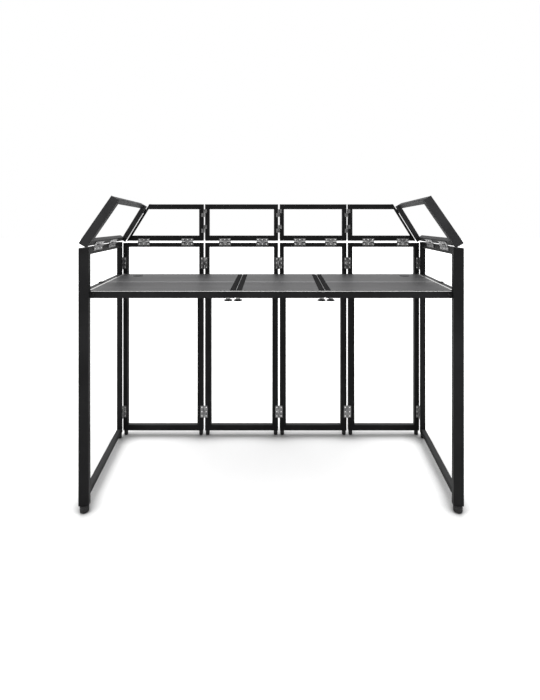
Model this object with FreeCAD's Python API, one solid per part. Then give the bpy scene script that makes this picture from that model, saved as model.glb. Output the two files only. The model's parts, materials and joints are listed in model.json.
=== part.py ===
import FreeCAD, Part
import math
import os

Vector = FreeCAD.Vector

# Plan of the booth, in millimetres. The near end is where the player stands.
near_half_width = 716.8
toe_in = math.radians(5.5)
facade_depth = 617.0
facade_inset = 21.7
panel_shares = (0.2738, 0.2525, 0.2312, 0.2425)
seam_gap = 8.5
corner_gap = 12.0

# Heights of the lower and upper frames
lower_top = 981.0
tier_gap = 10.0
upper_top = 1177.5
side_top = 987.0
side_tier_gap = 3.0
lean_top = 1184.0
lean = math.radians(31.5)
lean_setback = 35.0
lean_end_gap = 2.5

# Square tubes
tube = 25.0
tube_wall = 1.5
front_post_width = 21.5
end_post_width = 24.5
lower_bottom_rail = 28.0
lower_top_rail = 21.0
upper_bottom_rail = 27.0
upper_top_rail = 25.0
right_bar_width = 8.5
left_bar_width = 10.0
window_bar_top = 775.0
near_leg_width = 37.5
near_leg_depth = 22.0
far_post_width = 22.0
side_rail_thickness = 20.0
side_top_rail = 28.0
bottom_rail_rise = 26.0
bottom_rail_height = 22.0
lean_tube_thickness = 22.0
lean_rail_width = 21.0
lean_far_post = 18.5
lean_near_post = 32.0
lean_near_inset = 7.5
lean_near_outset = 3.5
lean_far_inset = 14.0

# Slanted outer end of the two end upper front frames
end_strip_gap = 2.3
end_strip_width = 8.5
end_strip_foot = 12.9
end_strip_thickness = 4.0
rest_tab_reach = 12.0
rest_tab_gap = 1.0
rest_tab_width = 8.0
rest_tab_height = 20.0

# Butt hinges, pins and screws
leaf_thickness = 2.0
leaf_width = 18.0
corner_leaf_width = 14.0
barrel_radius = 3.5
leaf_gap = 0.5
knuckle_gap = 0.3
pin_radius = 1.8
running_gap = 0.05
hinge_length = 60.0
long_hinge_length = 120.0
seam_hinge_heights = (122.0, 878.0)
upper_hinge_left_inset = 106.0
upper_hinge_right_inset = 85.0
long_hinge_places = (180.0, 403.0)
screw_radius = 1.9
screw_head_radius = 3.4
screw_head_depth = 1.4
screw_length = 8.0
screw_spread = 0.36
screw_inset = 7.0

# Lift-off links between the upper front frames
link_shares = (0.225, 0.654)
link_half_share = 0.104
link_pin_share = 0.68
link_leaf_width = 14.0
link_pin_radius = 2.0

# Feet
near_foot_radius = 17.0
near_foot_height = 26.0
near_foot_round = 8.0
front_foot_radius = 10.0
far_foot_inset = 0.5
small_foot_height = 25.0
small_foot_round = 4.0

# Table
table_top = 824.0
board_thickness = 10.0
table_bar_width = 19.0
table_bar_height = 20.0
table_bar_wall = 1.5
table_slit = 6.0
joint_slit = 8.0
joint_drop = 2.0
left_joint = (-134.5, -142.5)
right_joint = (205.0, 227.5)
table_leg_gap = 14.5
rail_height = 23.0
rail_drop = 0.5
rail_end_gap = 0.5
plate_thickness = 3.0
flange_thickness = 2.0
clamp_tab_width = 16.0
clamp_tab_depth = 30.0
clamp_flange_rise = 10.0
table_facade_gap = 12.0
board_split_share = 0.442
strip_width = 6.0
support_near = 120.0
support_far = 125.0
support_length = 40.0

# Clamp knobs, grommets, bolts and plugs
left_knob_offsets = (29.4, 8.1)
right_knob_offsets = (12.4, 22.1)
knob_radius = 13.0
knob_height = 8.0
knob_lobes = 7
knob_scallop_radius = 4.0
knob_hub_radius = 7.0
knob_hub_height = 2.0
knob_bolt_radius = 3.0
knob_bolt_length = 20.0
knob_seat_gap = 0.3
grommet_inset = 92.0
grommet_setback = 85.0
grommet_radius = 22.5
grommet_sleeve = 18.5
grommet_gap = 0.3
grommet_flange = 2.5
rail_bolt_radius = 5.5
rail_bolt_head = 4.0
rail_bolt_shank = 3.0
rail_bolt_length = 10.0
rail_bolt_inset = 14.0
plug_place = 268.0
plug_radius = 12.0
plug_height = 5.5

# Worked out from the sizes above
seat_z = table_top - board_thickness
frame_z = seat_z - table_bar_height
rail_top = table_top - rail_drop
leg_back = near_leg_depth * math.cos(toe_in) + near_leg_width * math.sin(toe_in)
table_near = leg_back + table_leg_gap
table_far = facade_depth - table_facade_gap
rail_back = table_near - flange_thickness
rail_front = rail_back - tube
knob_y = table_near + table_bar_width / 2
board_split = table_near + (table_far - table_near) * board_split_share
grommet_y = table_far - grommet_setback
upper_base = lower_top + tier_gap
tier_axis = lower_top + tier_gap / 2
side_axis = side_top + side_tier_gap / 2
standoff = barrel_radius + leaf_gap
upper_height = upper_top - upper_base
link_heights = [upper_base + upper_height * share for share in link_shares]
link_half_height = upper_height * link_half_share
link_pin_rise = link_half_height * link_pin_share
half_facade = near_half_width + facade_depth * math.tan(toe_in) - facade_inset
count = len(panel_shares)
seams = [half_facade * (2 * sum(panel_shares[:k]) - 1) for k in range(count + 1)]
near_foot_y = near_leg_depth / 2 * math.cos(toe_in) + near_leg_width / 2 * math.sin(toe_in)
mid_depth = (facade_depth + tube + near_foot_y - near_foot_radius) / 2

X = Vector(1, 0, 0)
Y = Vector(0, 1, 0)
Z = Vector(0, 0, 1)


class Plane:
    """A working plane: a point is two distances in the plane and a depth off it."""

    def __init__(self, origin, across, up, depth):
        self.origin = origin
        self.axes = (across, up, depth)

    def at(self, a, b, d):
        across, up, depth = self.axes
        return self.origin + across * a + up * b + depth * d

    def prism(self, points, start, end):
        """A flat outline, extruded between two depths."""
        corners = [self.at(a, b, start) for a, b in points]
        face = Part.Face(Part.makePolygon(corners + corners[:1]))
        return face.extrude(self.axes[2] * (end - start))

    def bar(self, across, up, depth):
        """A plain bar between three pairs of limits."""
        points = [(across[0], up[0]), (across[1], up[0]), (across[1], up[1]), (across[0], up[1])]
        return self.prism(points, *depth)


def side_directions(sign):
    """Directions along a side frame towards the front, and inwards across it."""
    along = Vector(sign * math.sin(toe_in), math.cos(toe_in), 0)
    inwards = Vector(-sign * math.cos(toe_in), math.sin(toe_in), 0)
    return along, inwards


def side_plane(sign):
    """The outer face of a side frame: along it, up it, and inwards from it."""
    along, inwards = side_directions(sign)
    return Plane(Vector(sign * near_half_width, -mid_depth, 0), along, Z, inwards)


def front_plane():
    """The inner face of the front frames: across, up, and outwards from it."""
    return Plane(Vector(0, facade_depth - mid_depth, 0), X, Z, Y)


def plan_plane():
    """The plan: across, back from the near end, and up."""
    return Plane(Vector(0, -mid_depth, 0), X, Y, Z)


def side_along(depth_y, inset):
    """How far along a side frame a point lies, from its depth in plan and its inset."""
    return (depth_y - inset * math.sin(toe_in)) / math.cos(toe_in)


def lean_plane(sign):
    """The hinge line of a leaning frame: along it, up its slope, and outwards from it."""
    along, inwards = side_directions(sign)
    origin = side_plane(sign).at(0, side_axis, side_rail_thickness + standoff)
    slope = inwards * math.sin(lean) + Z * math.cos(lean)
    outwards = Z * math.sin(lean) - inwards * math.cos(lean)
    return Plane(origin, along, slope, outwards)


def lean_face(depth_y, height):
    """Distance from the middle of the booth to the inner face of a leaning frame's far post."""
    inset = side_rail_thickness + standoff * (1 - math.cos(lean)) + lean_far_inset / math.cos(lean)
    inset += (height - side_axis - standoff * math.sin(lean)) * math.tan(lean)
    return near_half_width + depth_y * math.tan(toe_in) - inset / math.cos(toe_in)


def table_edge(depth_y):
    """Distance from the middle of the booth to the outer edge of the table."""
    inset = side_rail_thickness + table_slit
    return near_half_width + depth_y * math.tan(toe_in) - inset / math.cos(toe_in)


def grommet_x():
    """Distance from the middle of the booth to a cable grommet."""
    return table_edge(grommet_y) - grommet_inset


def joint_line(ends, depth_y):
    """Place across of a joint between two table sections, at a depth in plan."""
    share = (depth_y - table_near) / (table_far - table_near)
    return ends[0] + (ends[1] - ends[0]) * share


def between(start, end, share):
    return tuple(a + (b - a) * share for a, b in zip(start, end))


def stretched(start, end, reach):
    """A line between two points, made longer at both ends."""
    share = reach / math.dist(start, end)
    return [between(start, end, -share), between(start, end, 1 + share)]


def mitred_tube(plane, outline, depth, wall):
    """One tube of a frame, from its outer edge and its inner edge, bored along its length."""
    outer_a, outer_b, inner_b, inner_a = outline
    width = math.dist(outer_a, inner_a) * abs(math.sin(edge_angle(outer_b, outer_a, inner_a)))
    near = wall / width
    far = 1 - near
    bore = stretched(between(outer_a, inner_a, near), between(outer_b, inner_b, near), wall)
    bore += stretched(between(outer_b, inner_b, far), between(outer_a, inner_a, far), wall)
    solid = plane.prism(outline, *depth)
    return solid.cut(plane.prism(bore, depth[0] + wall, depth[1] - wall))


def edge_angle(point_a, corner, point_b):
    """Angle at a corner between two other points."""
    first = math.atan2(point_a[1] - corner[1], point_a[0] - corner[0])
    return math.atan2(point_b[1] - corner[1], point_b[0] - corner[0]) - first


def inner_corners(corners, widths):
    """Corners of the window in a frame whose sides have the given widths."""
    lines = []
    for k, start in enumerate(corners):
        end = corners[(k + 1) % len(corners)]
        length = math.dist(start, end)
        run = ((end[0] - start[0]) / length, (end[1] - start[1]) / length)
        lines.append(((start[0] - run[1] * widths[k], start[1] + run[0] * widths[k]), run))
    inner = []
    for k in range(len(corners)):
        (p, u), (q, v) = lines[k - 1], lines[k]
        cross = u[0] * v[1] - u[1] * v[0]
        share = ((q[0] - p[0]) * v[1] - (q[1] - p[1]) * v[0]) / cross
        inner.append((p[0] + u[0] * share, p[1] + u[1] * share))
    return inner


def mitred_frame(plane, corners, widths, depths, wall):
    """Tubes round a window, with mitred corners, each between its own two depths."""
    inner = inner_corners(corners, widths)
    tubes = []
    for k, depth in enumerate(depths):
        after = (k + 1) % len(corners)
        outline = [corners[k], corners[after], inner[after], inner[k]]
        tubes.append(mitred_tube(plane, outline, depth, wall))
    return tubes


def rail_tube(plane, across, up, depth):
    """A tube that lies along the plane, open at both ends."""
    bore_across = (across[0] - tube_wall, across[1] + tube_wall)
    bore_up = (up[0] + tube_wall, up[1] - tube_wall)
    bore_depth = (depth[0] + tube_wall, depth[1] - tube_wall)
    return plane.bar(across, up, depth).cut(plane.bar(bore_across, bore_up, bore_depth))


def post_tube(plane, across, up, depth):
    """A tube that stands in the plane, open at its foot and capped at its top."""
    bore_across = (across[0] + tube_wall, across[1] - tube_wall)
    bore_up = (up[0] - tube_wall, up[1] - tube_wall)
    bore_depth = (depth[0] + tube_wall, depth[1] - tube_wall)
    return plane.bar(across, up, depth).cut(plane.bar(bore_across, bore_up, bore_depth))


def panel_limits(k):
    """Left and right edges of a front panel, with half a seam gap at each inner seam."""
    left = seams[k] + (seam_gap / 2 if k > 0 else 0)
    right = seams[k + 1] - (seam_gap / 2 if k + 1 < count else 0)
    return left, right


def lower_front_frame(k):
    """A mitred frame, with a bar down the window side of each seam post below the table."""
    left, right = panel_limits(k)
    base = small_foot_height
    corners = [(left, base), (right, base), (right, lower_top), (left, lower_top)]
    left_post = front_post_width if k > 0 else end_post_width
    right_post = front_post_width if k + 1 < count else end_post_width
    widths = [lower_bottom_rail, right_post, lower_top_rail, left_post]
    solids = mitred_frame(front_plane(), corners, widths, [(0, tube)] * 4, tube_wall)
    height = (base + lower_bottom_rail, window_bar_top)
    bars = []
    if k > 0:
        bars.append((left + front_post_width, left + front_post_width + left_bar_width))
    if k + 1 < count:
        bars.append((right - front_post_width - right_bar_width, right - front_post_width))
    solids += [post_tube(front_plane(), across, height, (0, tube)) for across in bars]
    return solids


def upper_front_frame(k):
    """An upright frame, square in the middle of the front and slanted at its ends."""
    left, right = panel_limits(k)
    if k == 0:
        return upper_end_frame(-1, -right)
    if k + 1 == count:
        return upper_end_frame(1, left)
    corners = [(left, upper_base), (right, upper_base), (right, upper_top), (left, upper_top)]
    widths = [upper_bottom_rail, front_post_width, upper_top_rail, front_post_width]
    return mitred_frame(front_plane(), corners, widths, [(0, tube)] * 4, tube_wall)


def upper_end_frame(sign, seam_edge):
    """An end frame: two rails and a seam post of tube, a slanted flat bar and its rest tab."""
    plane = Plane(front_plane().origin, X * sign, Z, Y)

    def slant(height, gap):
        return lean_face(facade_depth, height) - gap

    rail_gap = end_strip_gap + end_strip_foot
    waist_gap = end_strip_gap + end_strip_width
    low, low_in = upper_base, upper_base + upper_bottom_rail
    high, high_in = upper_top, upper_top - upper_top_rail
    post_in = seam_edge + front_post_width
    bottom = [(seam_edge, low), (slant(low, rail_gap), low)]
    bottom += [(slant(low_in, rail_gap), low_in), (post_in, low_in)]
    top = [(slant(high, rail_gap), high), (seam_edge, high), (post_in, high_in)]
    top += [(slant(high_in, rail_gap), high_in)]
    post = [(seam_edge, high), (seam_edge, low), (post_in, low_in), (post_in, high_in)]
    solids = [mitred_tube(plane, outline, (0, tube), tube_wall) for outline in (bottom, top, post)]
    strip = [(slant(low, end_strip_gap), low), (slant(low, rail_gap), low)]
    strip += [(slant(low_in, rail_gap), low_in), (slant(low_in, waist_gap), low_in)]
    strip += [(slant(high_in, waist_gap), high_in), (slant(high_in, rail_gap), high_in)]
    strip += [(slant(high, rail_gap), high), (slant(high, end_strip_gap), high)]
    solids.append(plane.prism(strip, 0, end_strip_thickness))

    def rest(height, gap):
        return lean_face(facade_depth - rest_tab_reach, height) - gap

    tab_low = high_in - rest_tab_height
    tab = [(rest(tab_low, rest_tab_gap), tab_low), (rest(high_in, rest_tab_gap), high_in)]
    tab += [(rest(high_in, rest_tab_width), high_in), (rest(tab_low, rest_tab_width), tab_low)]
    solids.append(plane.prism(tab, -rest_tab_reach, 0))
    return solids


def far_post_end():
    """How far along a side frame its far post reaches."""
    return side_along(facade_depth - corner_gap, far_post_width)


def side_frame(sign):
    """A side frame: near leg, far post, three rails and two table supports."""
    plane = side_plane(sign)
    end = far_post_end()
    span = (near_leg_depth, end - tube)
    rail_depth = (0, side_rail_thickness)
    leg = post_tube(plane, (0, near_leg_depth), (near_foot_height, side_top), (0, near_leg_width))
    post = post_tube(plane, (end - tube, end), (small_foot_height, side_top), (0, far_post_width))
    solids = [leg, post]
    bottom = (bottom_rail_rise, bottom_rail_rise + bottom_rail_height)
    for height in ((side_top - side_top_rail, side_top), (frame_z, table_top), bottom):
        solids.append(rail_tube(plane, span, height, rail_depth))
    reach = side_rail_thickness + table_slit + table_bar_width
    for place in (support_near, end - support_far):
        half = support_length / 2
        limits = (place - half, place + half)
        solids.append(plane.bar(limits, (frame_z - plate_thickness, frame_z), (0, reach)))
    return solids


def upper_side_frame(sign):
    """A frame that leans inwards on the hinge line along the top of a side frame."""
    plane = lean_plane(sign)
    depth = (standoff, standoff + lean_tube_thickness)
    base = side_tier_gap / 2
    top = (lean_top - side_axis - depth[1] * math.sin(lean)) / math.cos(lean)

    def far_end(slope):
        inset = side_rail_thickness + standoff * (1 - math.cos(lean)) + slope * math.sin(lean)
        return side_along(facade_depth - lean_end_gap, inset)

    corners = [(0, base), (far_end(base), base), (far_end(top), top), (lean_setback, top)]
    widths = [lean_rail_width, lean_far_post, lean_rail_width, lean_near_post]
    near_depth = (depth[0] - lean_near_inset, depth[1] + lean_near_outset)
    far_depth = (depth[0] - lean_far_inset, depth[1] - lean_far_inset)
    return mitred_frame(plane, corners, widths, [depth, far_depth, depth, near_depth], tube_wall)


def screw(place, into, gap):
    """A countersunk screw, or its hole when it is given a gap."""
    head = Part.makeCone(screw_head_radius + gap, screw_radius + gap, screw_head_depth, place, into)
    shank = Part.makeCylinder(screw_radius + gap, screw_length + gap, place, into)
    return head.fuse(shank)


def hinge_leaf(place, along, length, knuckles, seat):
    """One leaf with its knuckles, and the screws that fix it.

    A seat is the leaf's direction, the way into its frame, its width and the frame's distance.
    """
    out, into, width, reach = seat
    plane = Plane(place, along, out, into)
    thickness = (reach - leaf_thickness, reach)
    root = barrel_radius + leaf_gap
    leaf = plane.bar((-length / 2, length / 2), (root, width), thickness)
    for start, end in knuckles:
        leaf = leaf.fuse(Part.makeCylinder(barrel_radius, end - start, place + along * start, along))
        leaf = leaf.fuse(plane.bar((start, end), (0, root), thickness))
    bore_start = place - along * (length / 2 + knuckle_gap)
    leaf = leaf.cut(Part.makeCylinder(pin_radius + running_gap, length + 2 * knuckle_gap, bore_start, along))
    screws = []
    for share in (-screw_spread, 0, screw_spread):
        inset = min(screw_inset, (width - root) / 2)
        spot = plane.at(length * share, width - inset, reach - leaf_thickness)
        leaf = leaf.cut(screw(spot, into, running_gap))
        screws.append((spot, into))
    return leaf.removeSplitter(), screws


def butt_hinge(place, along, first, second, length):
    """Two leaves on a pin, one on each seat."""
    third = length / 6
    half = knuckle_gap / 2
    outer = [(-length / 2, -third - half), (third + half, length / 2)]
    inner = [(-third + half, third - half)]
    leaf_a, screws_a = hinge_leaf(place, along, length, outer, first)
    leaf_b, screws_b = hinge_leaf(place, along, length, inner, second)
    pin = Part.makeCylinder(pin_radius, length, place - along * (length / 2), along)
    return [leaf_a, pin], screws_a, [leaf_b], screws_b


def link_half(seam, base, out, has_pin):
    """Half of a lift-off link: a leaf on the frame, a barrel, and a pin or a blind socket."""
    place = front_plane().at(seam, base, -leaf_thickness)
    plane = Plane(place, Z, out, Y)
    barrel = Part.makeCylinder(barrel_radius, link_half_height, place, Z)
    half = barrel.fuse(plane.bar((0, link_half_height), (0, link_leaf_width), (0, leaf_thickness)))
    if has_pin:
        half = half.fuse(Part.makeCylinder(link_pin_radius, link_half_height + link_pin_rise, place, Z))
    else:
        depth = link_pin_rise + knuckle_gap
        half = half.cut(Part.makeCylinder(link_pin_radius + running_gap, depth, place, Z))
    return half.removeSplitter()


def foot(place, radius, height, rounding):
    """A rubber foot with a rounded tread."""
    blank = Part.makeCylinder(radius, height, place, Z)
    tread = [edge for edge in blank.Edges if edge.BoundBox.ZMax < place.z + height / 2]
    tread = [edge for edge in tread if edge.Closed and edge.BoundBox.ZLength < rounding]
    return blank.makeFillet(rounding, tread)


def front_feet(k):
    left, right = panel_limits(k)
    plane = front_plane()
    spots = [plane.at(x, 0, tube / 2) for x in (left + tube / 2, right - tube / 2)]
    return [foot(spot, front_foot_radius, small_foot_height, small_foot_round) for spot in spots]


def side_feet(sign):
    plane = side_plane(sign)
    near = plane.at(near_leg_depth / 2, 0, near_leg_width / 2)
    far = plane.at(far_post_end() - tube / 2, 0, far_post_width / 2)
    return [
        foot(near, near_foot_radius, near_foot_height, near_foot_round),
        foot(far, far_post_width / 2 - far_foot_inset, small_foot_height, small_foot_round),
    ]


def rail_plug(sign):
    """A round plug on top of the middle rail of a side frame."""
    spot = side_plane(sign).at(plug_place, table_top, side_rail_thickness / 2)
    return [Part.makeCylinder(plug_radius, plug_height, spot, Z)]


def section_edges(k, depth_y):
    """Left and right edges of a table section at a depth in plan."""
    half = joint_slit / 2
    lefts = (-table_edge(depth_y), joint_line(left_joint, depth_y) + half)
    lefts += (joint_line(right_joint, depth_y) + half,)
    rights = (joint_line(left_joint, depth_y) - half, joint_line(right_joint, depth_y) - half)
    rights += (table_edge(depth_y),)
    return lefts[k], rights[k]


def section_outline(k, near, far, left_inset, right_inset):
    """Corners of a table section between two depths, drawn in at its sides."""
    near_left, near_right = section_edges(k, near)
    far_left, far_right = section_edges(k, far)
    return [
        (near_left + left_inset, near),
        (near_right - right_inset, near),
        (far_right - right_inset, far),
        (far_left + left_inset, far),
    ]


def knob_pairs():
    """Places across of the clamp knobs, a pair at each joint of the table."""
    pairs = []
    for ends, offsets in ((left_joint, left_knob_offsets), (right_joint, right_knob_offsets)):
        middle = joint_line(ends, knob_y)
        pairs.append((middle - offsets[0], middle + offsets[1]))
    return pairs


def board_insets(k):
    """How far a section's boards stop short of its joints, to leave room for the joint bars."""
    return (0 if k == 0 else table_bar_width, 0 if k == 2 else table_bar_width)


def joint_bars(k):
    """Flat bars on the frame of a table section, between its boards and its joints."""
    outer = section_outline(k, table_near, table_far, 0, 0)
    inner = section_outline(k, table_near, table_far, *board_insets(k))
    bars = []
    for near, far, inset in ((0, 3, board_insets(k)[0]), (1, 2, board_insets(k)[1])):
        if inset:
            outline = [outer[near], inner[near], inner[far], outer[far]]
            bars.append(plan_plane().prism(outline, seat_z, table_top - joint_drop))
    return bars


def table_frame(k):
    """The tube frame of one table section with its joint bars, bored for its knob bolts."""
    plane = plan_plane()
    corners = section_outline(k, table_near, table_far, 0, 0)
    depths = [(frame_z, seat_z)] * 4
    tubes = mitred_frame(plane, corners, [table_bar_width] * 4, depths, table_bar_wall)
    for x in sum(knob_pairs(), ()):
        spot = plane.at(x, knob_y, frame_z - plate_thickness)
        hole = Part.makeCylinder(knob_bolt_radius + running_gap, knob_bolt_length, spot, Z)
        tubes = [t.cut(hole) if t.BoundBox.intersect(hole.BoundBox) else t for t in tubes]
    return tubes + joint_bars(k)


def table_boards(k):
    """The near and far boards of one section, bored for a cable grommet at the booth's ends."""
    plane = plan_plane()
    half = strip_width / 2
    height = (seat_z, table_top)
    near = section_outline(k, table_near, board_split - half, *board_insets(k))
    far = section_outline(k, board_split + half, table_far, *board_insets(k))
    boards = [plane.prism(near, *height), plane.prism(far, *height)]
    if k != 1:
        x = grommet_x() * (k - 1)
        spot = plane.at(x, grommet_y, seat_z)
        hole = Part.makeCylinder(grommet_sleeve + grommet_gap, board_thickness, spot, Z)
        boards[1] = boards[1].cut(hole)
    return boards


def board_strips():
    """A metal strip between the two boards of each section."""
    half = strip_width / 2
    strips = []
    for k in range(3):
        outline = section_outline(k, board_split - half, board_split + half, *board_insets(k))
        strips.append(plan_plane().prism(outline, seat_z, table_top))
    return strips


def front_rail():
    """The tube between the near legs, with a clamp tab welded behind it for each knob."""
    plane = plan_plane()
    inner_face = near_half_width - near_leg_width / math.cos(toe_in)
    half = inner_face + rail_front * math.tan(toe_in) - rail_end_gap
    base = rail_top - rail_height
    bore = (-half - tube_wall, half + tube_wall)
    rail = plane.bar((-half, half), (rail_front, rail_back), (base, rail_top))
    bore_depth = (rail_front + tube_wall, rail_back - tube_wall)
    rail = rail.cut(plane.bar(bore, bore_depth, (base + tube_wall, rail_top - tube_wall)))
    for x in rail_bolt_spots():
        rail = rail.cut(rail_bolt(x, running_gap))
    solids = [rail]
    low = frame_z - plate_thickness
    for x in sum(knob_pairs(), ()):
        width = (x - clamp_tab_width / 2, x + clamp_tab_width / 2)
        tab = plane.bar(width, (rail_back, rail_back + clamp_tab_depth), (low, frame_z))
        tab = tab.fuse(plane.bar(width, (rail_back, table_near), (low, frame_z + clamp_flange_rise)))
        spot = plane.at(x, knob_y, low)
        tab = tab.cut(Part.makeCylinder(knob_bolt_radius + running_gap, plate_thickness, spot, Z))
        solids.append(tab.removeSplitter())
    return solids


def rail_bolt_spots():
    """Places across of the bolts at the two ends of the front rail."""
    end = near_half_width - near_leg_width - rail_bolt_inset
    return (-end, end)


def rail_bolt(x, gap):
    """A bolt in the front face of the rail, or its hole when it is given a gap."""
    face = plan_plane().at(x, rail_front, rail_top - rail_height / 2)
    shank = Part.makeCylinder(rail_bolt_shank + gap, rail_bolt_length, face, Y)
    if gap:
        return shank
    head = Part.makeCylinder(rail_bolt_radius, rail_bolt_head, face - Y * rail_bolt_head, Y)
    return head.fuse(shank).removeSplitter()


def clamp_knob(x):
    """A lobed knob with a hub and a bolt, hanging under its clamp tab."""
    plane = plan_plane()
    seat = frame_z - plate_thickness - knob_seat_gap
    base = seat - knob_hub_height - knob_height
    middle = plane.at(x, knob_y, base)
    knob = Part.makeCylinder(knob_radius, knob_height, middle, Z)
    for k in range(knob_lobes):
        turn = 2 * math.pi * k / knob_lobes
        reach = knob_radius + knob_scallop_radius / 2
        spot = middle + X * (reach * math.cos(turn)) + Y * (reach * math.sin(turn))
        knob = knob.cut(Part.makeCylinder(knob_scallop_radius, knob_height, spot, Z))
    hub = Part.makeCylinder(knob_hub_radius, knob_hub_height, middle + Z * knob_height, Z)
    length = knob_height + knob_hub_height + knob_bolt_length
    bolt = Part.makeCylinder(knob_bolt_radius, length - knob_height, middle + Z * knob_height, Z)
    return [knob.fuse(hub).fuse(bolt).removeSplitter()]


def grommets():
    """Two closed cable grommets: a cap on the board and a plug through it."""
    plane = plan_plane()
    solids = []
    for sign in (-1, 1):
        top = plane.at(sign * grommet_x(), grommet_y, table_top)
        low = top - Z * board_thickness
        flange = Part.makeCylinder(grommet_radius, grommet_flange, top, Z)
        sleeve = Part.makeCylinder(grommet_sleeve, board_thickness, low, Z)
        solids.append(flange.fuse(sleeve).removeSplitter())
    return solids


# Every frame by name, then the hinges and screws that each frame carries
sides = {"left": -1, "right": 1}
frames = {}
for k in range(count):
    frames["lower_front_%d" % (k + 1)] = lower_front_frame(k)
    frames["upper_front_%d" % (k + 1)] = upper_front_frame(k)
for name, sign in sides.items():
    frames["side_" + name] = side_frame(sign)
    frames["upper_side_" + name] = upper_side_frame(sign)
hinges = {name: [] for name in frames}
screws = {name: [] for name in frames}


def fit_hinge(first, second, place, along, first_seat, second_seat, length):
    """Fit a hinge between two frames and note where its screws go."""
    leaves_a, screws_a, leaves_b, screws_b = butt_hinge(place, along, first_seat, second_seat, length)
    hinges[first] += leaves_a
    screws[first] += screws_a
    hinges[second] += leaves_b
    screws[second] += screws_b


face = front_plane()
for k in range(1, count):
    left_name = "lower_front_%d" % k
    right_name = "lower_front_%d" % (k + 1)
    for height in seam_hinge_heights:
        place = face.at(seams[k], height, -leaf_thickness)
        seats = [(out, Y, leaf_width, leaf_thickness) for out in (X * -1, X)]
        fit_hinge(left_name, right_name, place, Z, *seats, hinge_length)
    for height in link_heights:
        hinges["upper_front_%d" % k].append(link_half(seams[k], height, X * -1, True))
        socket_base = height + link_half_height + knuckle_gap
        hinges["upper_front_%d" % (k + 1)].append(link_half(seams[k], socket_base, X, False))

for k in range(count):
    for x in (seams[k] + upper_hinge_left_inset, seams[k + 1] - upper_hinge_right_inset):
        place = face.at(x, tier_axis, -leaf_thickness)
        seats = [(out, Y, leaf_width, leaf_thickness) for out in (Z * -1, Z)]
        fit_hinge("lower_front_%d" % (k + 1), "upper_front_%d" % (k + 1), place, X, *seats, hinge_length)

for name, sign in sides.items():
    along, inwards = side_directions(sign)
    end_panel = "lower_front_1" if sign < 0 else "lower_front_%d" % count
    inset = far_post_width + leaf_thickness
    corner = side_along(facade_depth - standoff, inset)
    for height in seam_hinge_heights:
        place = side_plane(sign).at(corner, height, inset)
        front_seat = (X * -sign, Y, corner_leaf_width, standoff)
        side_seat = (along * -1, inwards * -1, leaf_width, leaf_thickness)
        fit_hinge(end_panel, "side_" + name, place, Z, front_seat, side_seat, hinge_length)
    slope = lean_plane(sign)
    for spot in long_hinge_places:
        side_seat = (Z * -1, inwards * -1, leaf_width, standoff)
        lean_seat = (slope.axes[1], slope.axes[2], leaf_width, standoff)
        place = slope.at(spot, 0, 0)
        fit_hinge("side_" + name, "upper_side_" + name, place, along, side_seat, lean_seat, long_hinge_length)


def drilled(tubes, holes):
    """Tubes with the holes that their screws need."""
    for place, into in holes:
        hole = Part.makeCylinder(screw_radius + running_gap, screw_length + running_gap, place, into)
        tubes = [t.cut(hole) if t.BoundBox.intersect(hole.BoundBox) else t for t in tubes]
    return tubes


nodes = {}
for name, tubes in frames.items():
    nodes[name + "_frame"] = drilled(tubes, screws[name])
    nodes[name + "_hinges"] = hinges[name]
    nodes[name + "_screws"] = [screw(place, into, 0).removeSplitter() for place, into in screws[name]]
for k in range(count):
    nodes["lower_front_%d_feet" % (k + 1)] = front_feet(k)
for name, sign in sides.items():
    nodes["side_%s_feet" % name] = side_feet(sign)
    nodes["side_%s_plug" % name] = rail_plug(sign)
for k in range(3):
    nodes["table_frame_%d" % (k + 1)] = table_frame(k)
    nodes["table_boards_%d" % (k + 1)] = table_boards(k)
for k, x in enumerate(sum(knob_pairs(), ())):
    nodes["clamp_knob_%d" % (k + 1)] = clamp_knob(x)
nodes["table_strips"] = board_strips()
nodes["table_front_rail"] = front_rail()
nodes["table_rail_bolts"] = [rail_bolt(x, 0) for x in rail_bolt_spots()]
nodes["cable_grommets"] = grommets()

os.makedirs("parts", exist_ok=True)
for name, solids in nodes.items():
    Part.makeCompound(solids).exportStep("parts/%s.step" % name)
    print(name, len(solids), all(s.isValid() for s in solids), round(sum(s.Volume for s in solids)))
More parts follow.
